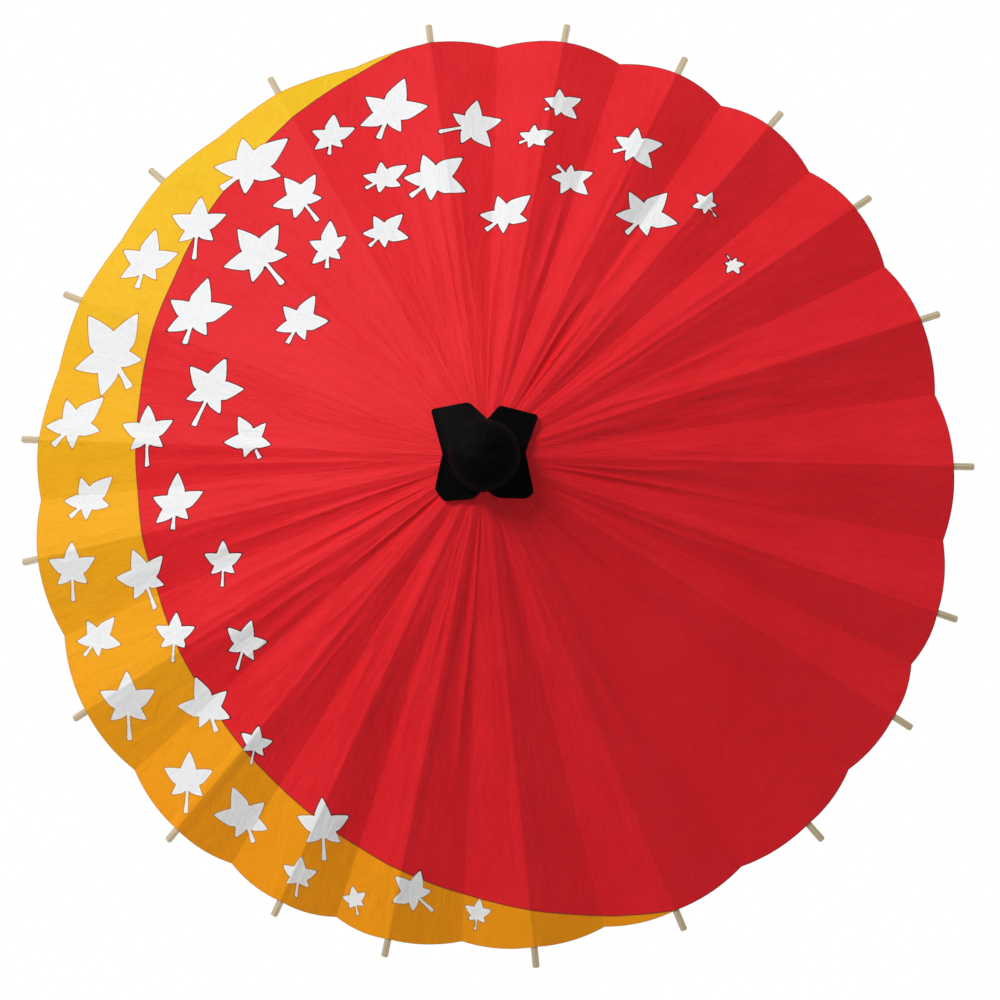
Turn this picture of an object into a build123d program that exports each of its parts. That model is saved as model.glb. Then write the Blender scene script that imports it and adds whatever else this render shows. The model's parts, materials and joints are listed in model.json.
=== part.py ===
from build123d import *
import os
from math import asin, atan2, cos, hypot, radians, sin, sqrt, tan

# Oil paper parasol, open. +Z runs up the shaft; the origin is the centre of the grip's lower end.
# Every size is in millimetres and every angle in degrees.

# --- overall sizes
paper_radius = 410.0          # from the shaft's axis to the paper's edge on a rib, open
tip_length = 20.0             # how far a rib runs out past the paper
rib_slope = 24.0              # fall of an open rib below level
closed_angle = 5.0            # angle left between a folded rib and the shaft
hub_height = 650.0            # height of the ribs' pivots
grip_length = 165.0

# directions of the hand-set ribs round the shaft, from +X
rib_azimuths = (2, 21, 37.5, 52.5, 66, 81, 98, 118.5, 137, 155.5, 174,
                189, 209, 227.5, 243, 257, 275, 293, 312.5, 329.5, 343.5)

# --- shaft and its pins
shaft_radius = 8.0
shaft_above = 28.0            # shaft above the ribs' pivots
shaft_round = 1.5
glue_gap = 0.05               # round a piece glued or pressed on
runner_gap = 0.4              # between runner and shaft
peg_radius = 1.5
peg_drop = 11.0               # hub peg below the ribs' pivots
peg_recess = 0.1
stop_radius = 1.2
stop_overhang = 2.0
stop_gap = 0.5

# --- hub and runner
hub_wall = 4.5
floor_step = 0.5              # from the barrel out to the floor of a slot
head_gap = 1.5                # between a slot's floor and the head in it
flange_lip = 4.0              # flange outside the pivots
flange_cover = 2.0            # flange above and below a head
slot_clearance = 0.4
hub_skirt = 17.0              # hub below the pivots
hub_neck = 18.0               # hub above the pivots
hub_below_paper = 1.5
runner_rise = 5.5             # runner above its pivots
runner_drop = 24.0            # runner below its pivots
foot_lip = 0.5                # runner's foot outside its barrel
foot_height = 4.0
foot_taper = 4.0              # from the foot up to the waist
flange_taper = 3.0            # from the waist up to the flange
crown_step = 1.0              # runner's top inside its barrel
waist_depth = 1.5
thread_radius = 0.5
channel_gap = 0.15
thread_hole_gap = 0.4

# --- ribs
joint_distance = 200.0        # hub pivot to stretcher pivot; the stretcher is as long
head_thickness = 2.0
head_radius = 2.5
rib_above = 2.5               # from the pivot line to the top of a rib
rib_below = 2.0
tip_below = 1.2
rib_thinning = 0.6            # share of the rib before it thins towards its tip
rib_head_length = 8.0
rib_neck = ((40.0, 3.4), (80.0, 4.0))  # distance from the hub pivot, width
rib_mid_width = 5.0
rib_outer_width = 6.0
rib_flare = 110.0             # stretcher's pin to the full outer width
tip_corner = 1.0
crown_angle = 12.0            # the bamboo's rounded back, as two slopes
joint_slot_inner = 9.0        # slot from the stretcher's pin towards the hub
slot_shoulder = 3.0           # rib of its middle width past the slot
fold_margin = 3.5

# --- stretchers
tongue_thickness = 1.8
tongue_radius = 2.2
bar_width = 4.0
bar_half_depth = 2.0
tongue_shoulder = 3.0
foot_neck_width = 3.4
foot_neck_start, foot_neck_end = 80.0, 40.0  # back from the hub end's thread
foot_length = 10.0
joint_pin_radius = 0.75
joint_pin_gap = 0.1
tongue_clearance = 0.4
pin_recess = 0.2

# --- paper
paper_thickness = 0.5
paper_gap = 0.35              # between a rib's back and the paper
crease_drop = 13.0            # how far a crease hangs below a flat panel at the rim
rim_bulge = 3.0               # how far the rim stands out between a rib and a crease
paper_hole_gap = 0.3

# --- cap
cap_wall = 1.2
dome_bulge = 7.0              # dome outside its neck
dome_height = 17.0
neck_gap = 3.0                # neck outside the hub's flange
neck_height = 4.5
bulge_rise = 14.0
cap_lift = 0.8                # flaps above the paper
neck_flare = (0.8, 0.4)       # way the dome leaves its neck
cord_radius = 1.3
flap_corner = 3.0
notch_reach = 42.0            # notches lie within this of the axis, corners outside it
flap_reach = 75.0
# outline of each skirt flap seen from above, from notch to notch, on a neck of this radius
drawn_neck = 24.0
notch_right, notch_top = (34, 4), (2, 33)
notch_left, notch_bottom = (-36, 4), (-1, -26)
flap_outlines = (
    (notch_right, (45, 38), (12, 46), notch_top),
    (notch_top, (-14, 49), (-47, 44), notch_left),
    (notch_left, (-43, -26), (-35, -36), (-11, -35), notch_bottom),
    (notch_bottom, (10, -34), (35, -34), (41, -29), notch_right),
)

# --- grip
wrap_thickness = 2.0
collar_step = 0.9
collar_height = 7.0
collar_round = 0.8
butt_inset = 0.4
butt_height = 5.0
butt_round = 2.0

# --- catch below the open runner
catch_depth = 3.8             # pin below the shaft's surface
catch_pivot_drop = 33.0       # pin below the catch's top
catch_foot_radius = 2.2
catch_width = 2.4
catch_overhang = 3.0          # top corner outside the shaft, sprung out
catch_thickness = 4.5
catch_nose = 4.0
catch_gap = 0.5
catch_side_gap = 0.3
catch_floor_gap = 1.0
catch_end_gap = 0.4
catch_pin_radius = 0.9
catch_pin_recess = 0.3
running_gap = 0.05

overcut = 1.0                 # how far a cutting outline runs past what it cuts

# --- worked out from the sizes above
slope = radians(rib_slope)
core_radius = shaft_radius + hub_wall
slot_floor = core_radius + floor_step
pivot_radius = slot_floor + head_gap + head_radius
flange_radius = pivot_radius + flange_lip
flange_half = head_radius + flange_cover
slot_width = head_thickness + slot_clearance
thread_channel = thread_radius + channel_gap
thread_hole = thread_radius + thread_hole_gap
joint_slot = tongue_thickness + tongue_clearance
joint_hole_radius = joint_pin_radius + joint_pin_gap
shaft_top = hub_height + shaft_above
runner_height = hub_height - 2 * joint_distance * sin(slope)
rib_length = (paper_radius - pivot_radius) / cos(slope) + tip_length
apex_height = hub_height + pivot_radius * tan(slope) + (rib_above + paper_gap) / cos(slope)
paper_slant = paper_radius / cos(slope)
fold_separation = (rib_below + bar_half_depth) / sin(radians(2 * closed_angle))
tongue_length = fold_separation + fold_margin
runner_top = runner_height + runner_rise
runner_bottom = runner_height - runner_drop
stop_height = runner_top + stop_gap + stop_radius
catch_top = runner_bottom - catch_gap
catch_pivot_z = catch_top - catch_pivot_drop
peg_height = hub_height - peg_drop
neck_radius = flange_radius + neck_gap
dome_radius = neck_radius + dome_bulge
grip_radius = shaft_radius + wrap_thickness
collar_radius = grip_radius + collar_step
butt_radius = grip_radius - butt_inset
catch_pivot_x = shaft_radius - catch_depth
catch_reach = shaft_radius + catch_overhang
catch_inner = catch_reach - catch_thickness
catch_slot_width = catch_width + 2 * catch_side_gap
catch_slot_floor = catch_pivot_x - catch_foot_radius - catch_floor_gap
catch_slot_end = catch_foot_radius + catch_end_gap
catch_pin_half = sqrt(shaft_radius ** 2 - catch_pivot_x ** 2) - catch_pin_recess


def paper_height(radius):
    """Height of the paper's underside along a rib."""
    return apex_height - radius * tan(slope)


def outward(azimuth, across, up):
    """Vector with a part away from the shaft and a part upwards."""
    angle = radians(azimuth)
    return Vector(across * cos(angle), across * sin(angle), up)


def rib_plane(azimuth):
    """Frame of a rib: origin at its hub pivot, x along it, z towards the paper."""
    origin = outward(azimuth, pivot_radius, hub_height)
    return Plane(
        origin=origin,
        x_dir=outward(azimuth, cos(slope), -sin(slope)),
        z_dir=outward(azimuth, sin(slope), cos(slope)),
    )


def stretcher_plane(azimuth):
    """Frame of a stretcher: origin at its rib pivot, x towards the runner."""
    across = pivot_radius + joint_distance * cos(slope)
    origin = outward(azimuth, across, hub_height - joint_distance * sin(slope))
    return Plane(
        origin=origin,
        x_dir=outward(azimuth, -cos(slope), -sin(slope)),
        z_dir=outward(azimuth, -sin(slope), cos(slope)),
    )


def bar_outline(stations):
    """Closed outline, symmetric about x, from (distance, half width) stations."""
    return Polyline(*stations, *[(x, -half) for x, half in reversed(stations)], close=True)


def slot_outlines(azimuths):
    """One radial rectangle per rib, through a flange."""
    depth = flange_radius + overcut - slot_floor
    for azimuth in azimuths:
        centre = outward(azimuth, slot_floor + depth / 2, 0)
        with Locations(Location(centre, (0, 0, azimuth))):
            Rectangle(depth, slot_width)


def save(piece, name):
    """Label a finished piece and write it."""
    piece.part.label = name
    export_step(piece.part, f"parts/{name}.step")


os.makedirs("parts", exist_ok=True)

# --- shaft: a round pole, cross-drilled for its pegs and slotted for the catch
with BuildPart() as shaft:
    with BuildSketch(Plane.XY):
        Circle(shaft_radius)
    extrude(amount=shaft_top)
    fillet(shaft.edges().sort_by(Axis.Z)[-1], radius=shaft_round)
    with BuildSketch(Plane.XZ):
        with Locations((0, peg_height)):
            Circle(peg_radius + glue_gap)
        with Locations((0, stop_height)):
            Circle(stop_radius + glue_gap)
        with Locations((catch_pivot_x, catch_pivot_z)):
            Circle(catch_pin_radius + running_gap)
    extrude(amount=2 * shaft_radius, both=True, mode=Mode.SUBTRACT)
    catch_slot_bottom = catch_pivot_z - catch_slot_end
    catch_slot_height = catch_top + catch_slot_end - catch_slot_bottom
    with BuildSketch(Plane.XZ):
        with Locations((catch_slot_floor, catch_slot_bottom)):
            Rectangle(2 * shaft_radius, catch_slot_height, align=(Align.MIN, Align.MIN))
    extrude(amount=catch_slot_width / 2, both=True, mode=Mode.SUBTRACT)
save(shaft, "shaft")

# --- upper hub: barrel with a slotted flange under the paper
with BuildPart() as upper_hub:
    with BuildSketch(Plane.XZ):
        bore = shaft_radius + glue_gap
        bottom = hub_height - hub_skirt
        under = hub_height - flange_half
        with BuildLine():
            Polyline(
                (bore, bottom),
                (core_radius - waist_depth, bottom),
                (core_radius, bottom + 2 * waist_depth),
                (core_radius, under),
                (flange_radius, under),
                (flange_radius, paper_height(flange_radius) - hub_below_paper),
                (core_radius, paper_height(core_radius) - hub_below_paper),
                (core_radius, hub_height + hub_neck),
                (bore, hub_height + hub_neck),
                close=True,
            )
        make_face()
    revolve(axis=Axis.Z)
    with BuildSketch(Plane.XY.offset(under - overcut)):
        slot_outlines(rib_azimuths)
    extrude(amount=2 * (flange_half + overcut), mode=Mode.SUBTRACT)
    with Locations((0, 0, hub_height)):
        Torus(pivot_radius, thread_channel, mode=Mode.SUBTRACT)
    with BuildSketch(Plane.XZ):
        with Locations((0, peg_height)):
            Circle(peg_radius + glue_gap)
    extrude(amount=2 * core_radius, both=True, mode=Mode.SUBTRACT)
save(upper_hub, "upper_hub")

with BuildPart() as upper_thread:
    with Locations((0, 0, hub_height)):
        Torus(pivot_radius, thread_radius)
save(upper_thread, "upper_thread")

with BuildPart() as hub_peg:
    with BuildSketch(Plane.XZ):
        with Locations((0, peg_height)):
            Circle(peg_radius)
    extrude(amount=core_radius - peg_recess, both=True)
save(hub_peg, "hub_peg")

# --- runner: slides on the shaft and carries the stretchers' feet
with BuildPart() as runner:
    with BuildSketch(Plane.XZ):
        bore = shaft_radius + runner_gap
        under = runner_height - flange_half
        with BuildLine():
            Polyline(
                (bore, runner_bottom),
                (core_radius + foot_lip, runner_bottom),
                (core_radius + foot_lip, runner_bottom + foot_height),
                (core_radius - waist_depth, runner_bottom + foot_height + foot_taper),
                (core_radius - waist_depth, under - flange_taper),
                (core_radius, under),
                (flange_radius, under),
                (flange_radius, runner_height + flange_half),
                (core_radius, runner_height + flange_half),
                (core_radius - crown_step, runner_top),
                (bore, runner_top),
                close=True,
            )
        make_face()
    revolve(axis=Axis.Z)
    with BuildSketch(Plane.XY.offset(under - overcut)):
        slot_outlines(rib_azimuths)
    extrude(amount=2 * (flange_half + overcut), mode=Mode.SUBTRACT)
    with Locations((0, 0, runner_height)):
        Torus(pivot_radius, thread_channel, mode=Mode.SUBTRACT)
save(runner, "runner")

with BuildPart() as runner_thread:
    with Locations((0, 0, runner_height)):
        Torus(pivot_radius, thread_radius)
save(runner_thread, "runner_thread")

# --- stop pin: keeps the runner from going up past its open place
with BuildPart() as stop_pin:
    with BuildSketch(Plane.XZ):
        with Locations((0, stop_height)):
            Circle(stop_radius)
    extrude(amount=shaft_radius + stop_overhang, both=True)
save(stop_pin, "stop_pin")

# --- catch: springs out under the open runner, pivoted low in the shaft's slot
with BuildPart() as catch:
    with BuildSketch(Plane.XZ):
        with Locations((catch_pivot_x, catch_pivot_z)):
            Circle(catch_foot_radius)
        with BuildLine():
            Polyline(
                (catch_pivot_x - catch_foot_radius, catch_pivot_z),
                (catch_pivot_x + catch_foot_radius, catch_pivot_z),
                (catch_reach, catch_top - catch_nose),
                (catch_reach, catch_top),
                (catch_inner, catch_top),
                close=True,
            )
        make_face()
    extrude(amount=catch_width / 2, both=True)
    with BuildSketch(Plane.XZ):
        with Locations((catch_pivot_x, catch_pivot_z)):
            Circle(catch_pin_radius)
    extrude(amount=catch_pin_half, both=True)
save(catch, "latch")

# --- rib, lying along x from its hub pivot: cut from the side, from above and across its back
crown_fall = tan(radians(crown_angle))
wide_half = rib_outer_width / 2
with BuildPart() as rib_blank:
    with BuildSketch(Plane.XZ):
        Circle(head_radius)
        with BuildLine():
            Polyline(
                (0, -rib_below),
                (rib_length * rib_thinning, -rib_below),
                (rib_length, -tip_below),
                (rib_length, rib_above),
                (0, rib_above),
                close=True,
            )
        make_face()
    extrude(amount=rib_outer_width, both=True)
    with BuildSketch(Plane.XY):
        with BuildLine():
            bar_outline((
                (-head_radius - overcut, head_thickness / 2),
                (rib_head_length, head_thickness / 2),
                *[(distance, width / 2) for distance, width in rib_neck],
                (joint_distance - joint_slot_inner, rib_mid_width / 2),
                (joint_distance + tongue_length + slot_shoulder, rib_mid_width / 2),
                (joint_distance + rib_flare, wide_half),
                (rib_length - tip_corner, wide_half),
                (rib_length, wide_half - tip_corner),
            ))
        make_face()
    extrude(amount=2 * head_radius, both=True, mode=Mode.INTERSECT)
    with BuildSketch(Plane.YZ.offset(-2 * head_radius)):
        with BuildLine():
            Polyline(
                (-wide_half, -2 * head_radius),
                (wide_half, -2 * head_radius),
                (wide_half, rib_above - wide_half * crown_fall),
                (0, rib_above),
                (-wide_half, rib_above - wide_half * crown_fall),
                close=True,
            )
        make_face()
    extrude(amount=rib_length + 4 * head_radius, mode=Mode.INTERSECT)
    with BuildSketch(Plane.XZ):
        Circle(thread_hole)
        with Locations((joint_distance, 0)):
            Circle(joint_hole_radius)
    extrude(amount=rib_outer_width, both=True, mode=Mode.SUBTRACT)
    with BuildSketch(Plane.XY):
        with Locations((joint_distance - joint_slot_inner, 0)):
            Rectangle(joint_slot_inner + tongue_length, joint_slot, align=(Align.MIN, Align.CENTER))
    extrude(amount=2 * head_radius, both=True, mode=Mode.SUBTRACT)

# --- stretcher, lying along x from its rib pivot: tongue with pin, bar, foot with thread hole
with BuildPart() as stretcher_blank:
    with BuildSketch(Plane.XZ):
        Circle(tongue_radius)
        with Locations((joint_distance / 2, 0)):
            Rectangle(joint_distance, 2 * bar_half_depth)
        with Locations((joint_distance, 0)):
            Circle(head_radius)
    extrude(amount=bar_width, both=True)
    with BuildSketch(Plane.XY):
        with BuildLine():
            bar_outline((
                (-tongue_radius - overcut, tongue_thickness / 2),
                (tongue_length, tongue_thickness / 2),
                (tongue_length + tongue_shoulder, bar_width / 2),
                (joint_distance - foot_neck_start, bar_width / 2),
                (joint_distance - foot_neck_end, foot_neck_width / 2),
                (joint_distance - foot_length, head_thickness / 2),
                (joint_distance + head_radius + overcut, head_thickness / 2),
            ))
        make_face()
    extrude(amount=2 * head_radius, both=True, mode=Mode.INTERSECT)
    with BuildSketch(Plane.XZ):
        Circle(joint_pin_radius)
    extrude(amount=rib_mid_width / 2 - pin_recess, both=True)
    with BuildSketch(Plane.XZ):
        with Locations((joint_distance, 0)):
            Circle(thread_hole)
    extrude(amount=bar_width, both=True, mode=Mode.SUBTRACT)

for number, azimuth in enumerate(rib_azimuths, start=1):
    with BuildPart(rib_plane(azimuth)) as rib:
        add(rib_blank.part)
    save(rib, f"rib_{number:02d}")
    with BuildPart(stretcher_plane(azimuth)) as stretcher:
        add(stretcher_blank.part)
    save(stretcher, f"stretcher_{number:02d}")


# --- paper: flat half panels, one on each side of every rib, that meet in a valley crease
def rim_direction(azimuth):
    return outward(azimuth, cos(slope), -sin(slope))


def crease_direction(first, second):
    """Direction of the crease between two neighbouring ribs, seen from the apex."""
    middle = (rim_direction(first) + rim_direction(second)) / 2
    across = hypot(middle.X, middle.Y)
    fall = atan2(-middle.Z, across) + asin(crease_drop / (paper_slant * middle.length))
    return outward((first + second) / 2, cos(fall), -sin(fall))


def half_panel(start, end):
    """Paper sector between two directions from the apex, with a rim that bulges."""
    normal = start.cross(end).normalized()
    turn = radians(start.get_angle(end))
    with BuildSketch(Plane(origin=(0, 0, apex_height), x_dir=start, z_dir=normal)) as panel:
        with BuildLine():
            Polyline(
                (paper_slant * cos(turn), paper_slant * sin(turn)),
                (0, 0),
                (paper_slant, 0),
            )
            bulged = paper_slant + rim_bulge
            ThreePointArc(
                (paper_slant, 0),
                (bulged * cos(turn / 2), bulged * sin(turn / 2)),
                (paper_slant * cos(turn), paper_slant * sin(turn)),
            )
        make_face()
    extrude(panel.sketch, amount=paper_thickness, dir=(0, 0, 1))


with BuildPart() as canopy:
    for first, second in zip(rib_azimuths, rib_azimuths[1:] + (rib_azimuths[0] + 360,)):
        crease = crease_direction(first, second)
        half_panel(rim_direction(first), crease)
        half_panel(crease, rim_direction(second))
    with BuildSketch(Plane.XY.offset(hub_height - hub_skirt)):
        Circle(core_radius + paper_hole_gap)
    extrude(amount=hub_skirt + hub_neck, mode=Mode.SUBTRACT)
save(canopy, "canopy")

# --- cap: a padded dome tied at its neck, with four skirt flaps lying on the paper
flap_bottom = paper_thickness + cap_lift
neck_bottom = paper_height(neck_radius) + flap_bottom
bulge_height = neck_bottom + bulge_rise
with BuildPart() as cap_dome:
    with BuildSketch(Plane.XZ):
        for inset, mode in ((0, Mode.ADD), (cap_wall, Mode.SUBTRACT)):
            neck = neck_radius - inset
            bulge = dome_radius - inset
            crown = bulge_height + dome_height - inset
            with BuildLine():
                Polyline((0, crown), (0, neck_bottom - inset), (neck, neck_bottom - inset),
                         (neck, neck_bottom + neck_height))
                Spline(
                    (neck, neck_bottom + neck_height),
                    (bulge, bulge_height),
                    (0, crown),
                    tangents=(neck_flare, (-1, 0)),
                )
            make_face(mode=mode)
    revolve(axis=Axis.Z)
save(cap_dome, "cap_dome")

with BuildPart() as cap_cord:
    with Locations((0, 0, neck_bottom + neck_height - cord_radius)):
        Torus(neck_radius + cord_radius + glue_gap, cord_radius)
save(cap_cord, "cap_cord")

flap_start = neck_radius + glue_gap
flap_scale = neck_radius / drawn_neck
corner_reach = notch_reach * flap_scale
for number, outline in enumerate(flap_outlines, start=1):
    points = [(x * flap_scale, y * flap_scale) for x, y in outline]
    with BuildPart() as flap:
        with BuildSketch(Plane.XZ):
            with BuildLine():
                Polyline(
                    (flap_start, paper_height(flap_start) + flap_bottom),
                    (flap_reach, paper_height(flap_reach) + flap_bottom),
                    (flap_reach, paper_height(flap_reach) + flap_bottom + cap_wall),
                    (flap_start, paper_height(flap_start) + flap_bottom + cap_wall),
                    close=True,
                )
            make_face()
        revolve(axis=Axis.Z)
        with BuildSketch(Plane.XY.offset(hub_height - flap_reach)) as flap_plan:
            with BuildLine():
                Polyline((0, 0), *points, close=True)
            make_face()
            corners = [v for v in flap_plan.vertices() if hypot(v.X, v.Y) > corner_reach]
            fillet(corners, radius=flap_corner)
        extrude(amount=2 * flap_reach, mode=Mode.INTERSECT)
    save(flap, f"cap_flap_{number:02d}")

# --- grip: a wound sleeve with a collar above it and a cap under it
with BuildPart() as grip_wrap:
    with BuildSketch(Plane.XY):
        Circle(grip_radius)
        Circle(shaft_radius + glue_gap, mode=Mode.SUBTRACT)
    extrude(amount=grip_length)
save(grip_wrap, "grip_wrap")

with BuildPart() as grip_collar:
    with BuildSketch(Plane.XY.offset(grip_length)):
        Circle(collar_radius)
        Circle(shaft_radius + glue_gap, mode=Mode.SUBTRACT)
    extrude(amount=collar_height)
    fillet(grip_collar.edges().filter_by(GeomType.CIRCLE).group_by(Axis.Z)[-1][-1], radius=collar_round)
save(grip_collar, "grip_collar")

with BuildPart() as butt_cap:
    with BuildSketch(Plane.XY):
        Circle(butt_radius)
    extrude(amount=-butt_height)
    fillet(butt_cap.edges().group_by(Axis.Z)[0], radius=butt_round)
save(butt_cap, "butt_cap")
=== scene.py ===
import json
import math

import bmesh
import bpy
import numpy as np
from mathutils import Matrix, Vector

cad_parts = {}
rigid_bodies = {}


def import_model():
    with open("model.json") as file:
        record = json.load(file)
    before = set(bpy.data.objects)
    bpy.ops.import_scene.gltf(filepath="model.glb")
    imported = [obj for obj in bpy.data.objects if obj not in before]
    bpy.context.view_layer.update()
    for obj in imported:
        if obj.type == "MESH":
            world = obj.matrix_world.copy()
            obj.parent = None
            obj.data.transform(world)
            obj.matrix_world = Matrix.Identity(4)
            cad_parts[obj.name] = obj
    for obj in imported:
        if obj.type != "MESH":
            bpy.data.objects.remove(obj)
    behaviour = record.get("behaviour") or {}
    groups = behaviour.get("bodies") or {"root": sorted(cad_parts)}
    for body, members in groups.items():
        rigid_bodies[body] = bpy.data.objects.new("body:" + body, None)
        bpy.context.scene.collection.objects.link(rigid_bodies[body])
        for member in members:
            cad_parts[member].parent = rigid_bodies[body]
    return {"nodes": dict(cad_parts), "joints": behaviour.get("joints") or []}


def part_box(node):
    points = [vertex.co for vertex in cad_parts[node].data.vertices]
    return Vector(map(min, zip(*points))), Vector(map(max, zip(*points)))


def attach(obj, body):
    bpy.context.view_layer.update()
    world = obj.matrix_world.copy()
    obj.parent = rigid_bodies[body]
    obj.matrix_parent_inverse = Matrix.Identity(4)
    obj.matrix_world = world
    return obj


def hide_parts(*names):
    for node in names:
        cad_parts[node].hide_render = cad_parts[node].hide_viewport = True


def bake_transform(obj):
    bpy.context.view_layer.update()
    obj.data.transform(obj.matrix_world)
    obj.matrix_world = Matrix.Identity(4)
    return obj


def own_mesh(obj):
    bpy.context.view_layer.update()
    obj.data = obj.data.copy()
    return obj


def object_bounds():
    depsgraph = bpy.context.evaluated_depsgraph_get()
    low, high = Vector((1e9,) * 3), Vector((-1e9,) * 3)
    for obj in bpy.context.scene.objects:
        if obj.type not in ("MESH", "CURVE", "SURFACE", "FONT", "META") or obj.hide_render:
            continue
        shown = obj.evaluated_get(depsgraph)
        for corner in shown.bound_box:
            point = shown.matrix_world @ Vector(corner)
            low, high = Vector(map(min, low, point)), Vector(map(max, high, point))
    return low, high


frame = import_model()
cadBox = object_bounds()
print("frame loaded:", len(frame["nodes"]), "nodes")

mm = 0.001
sameAngle = 1e-4
sameLength = 0.01 * mm


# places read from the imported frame

def pivotOf(jointName):
    return Vector(next(joint["pos_m"] for joint in frame["joints"] if joint["name"] == jointName))


def readRibs():
    found = []
    for joint in frame["joints"]:
        if joint["parent"] == "root" and joint["name"].startswith("rib_"):
            x, y = joint["pos_m"][:2]
            found.append({
                "body": joint["child"],
                "joint": joint["name"],
                "azimuth": math.atan2(y, x) % math.tau,
                "fold": math.radians(joint["range_deg"][1]),
            })
    return sorted(found, key=lambda rib: rib["azimuth"])


ribs = readRibs()
hubPivot = pivotOf("rib_01_fold")
elbowPivot = pivotOf("stretcher_01_fold")
pivotRadius = hubPivot.xy.length
ribSlope = math.atan2(hubPivot.z - elbowPivot.z, elbowPivot.xy.length - pivotRadius)

paperCorners = np.array([v.co for v in frame["nodes"]["canopy"].data.vertices])
cornerRadii = np.hypot(paperCorners[:, 0], paperCorners[:, 1])
cornerAngles = np.arctan2(paperCorners[:, 1], paperCorners[:, 0])
onFirstRib = np.abs(cornerAngles - ribs[0]["azimuth"]) < sameAngle
rimRadius = float(cornerRadii[onFirstRib].max())
onRim = onFirstRib & (cornerRadii > rimRadius - sameLength)
rimTop = float(paperCorners[onRim][:, 2].max())
holeRadius = float(cornerRadii.min())
apex = np.array([0.0, 0.0, rimTop + rimRadius * math.tan(ribSlope)])
paperSlant = rimRadius / math.cos(ribSlope)
rimCentre = Vector((0, 0, rimTop))


def paperTop(radius):
    # height of the paper's upper face along a rib
    return apex[2] - radius * math.tan(ribSlope)


# small tools for meshes

def unit(vector):
    return vector / np.linalg.norm(vector)


def smoothRise(value, low, high):
    share = np.clip((value - low) / (high - low), 0, 1)
    return share * share * (3 - 2 * share)


def softNoise(u, v, seed, turns=None):
    # smooth random heights from -1 to 1, one lattice step per unit; u closes up after turns steps
    lattice = np.random.default_rng(seed).uniform(-1, 1, (turns or 97, 89))
    columns, rows = lattice.shape
    u0, v0 = np.floor(u).astype(int), np.floor(v).astype(int)
    fu, fv = u - u0, v - v0
    fu, fv = fu * fu * (3 - 2 * fu), fv * fv * (3 - 2 * fv)

    def corner(du, dv):
        return lattice[(u0 + du) % columns, (v0 + dv) % rows]

    near = corner(0, 0) * (1 - fu) + corner(1, 0) * fu
    far = corner(0, 1) * (1 - fu) + corner(1, 1) * fu
    return near * (1 - fv) + far * fv


def meshPoints(mesh):
    points = np.empty(len(mesh.vertices) * 3)
    mesh.vertices.foreach_get("co", points)
    return points.reshape(-1, 3)


def setPoints(mesh, points):
    mesh.vertices.foreach_set("co", np.ascontiguousarray(points, np.float32).ravel())
    mesh.update()


def newObject(name, form, material, angle=None):
    # turns a finished bmesh into an object with smooth faces
    bmesh.ops.recalc_face_normals(form, faces=form.faces)
    mesh = bpy.data.meshes.new(name)
    form.to_mesh(mesh)
    form.free()
    mesh.shade_smooth()
    if angle:
        mesh.set_sharp_from_angle(angle=math.radians(angle))
    mesh.materials.append(material)
    piece = bpy.data.objects.new(name, mesh)
    bpy.context.scene.collection.objects.link(piece)
    return piece


def gridPiece(name, columns, rows, place, material, weld=0.0):
    # a grid whose points place(u, v) puts in the frame; u and v run from 0 to 1
    grid = bmesh.new()
    bmesh.ops.create_grid(grid, x_segments=columns, y_segments=rows, size=1)
    mesh = bpy.data.meshes.new(name)
    grid.to_mesh(mesh)
    flat = (meshPoints(mesh) + 1) / 2
    setPoints(mesh, place(flat[:, 0], flat[:, 1]))
    pointAttribute(mesh, "gridPlace", flat)
    grid.clear()
    grid.from_mesh(mesh)
    if weld:
        bmesh.ops.remove_doubles(grid, verts=grid.verts, dist=weld)
    for face in grid.faces:
        face.smooth = True
    for edge in grid.edges:
        edge.smooth = not edge.is_boundary
    grid.to_mesh(mesh)
    grid.free()
    mesh.materials.append(material)
    piece = bpy.data.objects.new(name, mesh)
    bpy.context.scene.collection.objects.link(piece)
    return piece


def thicken(piece, thickness):
    wall = piece.modifiers.new("wall", "SOLIDIFY")
    wall.thickness = thickness
    wall.offset = -1


def pointAttribute(mesh, name, values):
    vector = values.ndim == 2
    layer = mesh.attributes.new(name, "FLOAT_VECTOR" if vector else "FLOAT", "POINT")
    layer.data.foreach_set("vector" if vector else "value", values.astype(np.float32).ravel())


# shader maths: a wire is a socket that takes Python's operators

class Wire:
    def __init__(self, recipe, socket):
        self.recipe = recipe
        self.socket = socket

    def maths(self, operation, *pair):
        return self.recipe.node("Math", {"operation": operation}, dict(enumerate(pair)))

    def __add__(self, other):
        return self.maths("ADD", self, other)

    def __sub__(self, other):
        return self.maths("SUBTRACT", self, other)

    def __rsub__(self, other):
        return self.maths("SUBTRACT", other, self)

    def __mul__(self, other):
        return self.maths("MULTIPLY", self, other)

    def __truediv__(self, other):
        return self.maths("DIVIDE", self, other)

    __radd__ = __add__

    def root(self):
        return self.maths("SQRT", self)

    def size(self):
        return self.maths("ABSOLUTE", self)

    def turnFrom(self, x):
        # azimuth of a place whose y is this wire
        return self.maths("ARCTAN2", self, x)

    def over(self, edge, blur):
        # 0 below the edge, 1 above it, with a soft step as wide as blur
        sockets = {0: self, 1: edge - blur / 2, 2: edge + blur / 2}
        return self.recipe.node("MapRange", {"interpolation_type": "SMOOTHSTEP"}, sockets)


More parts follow.
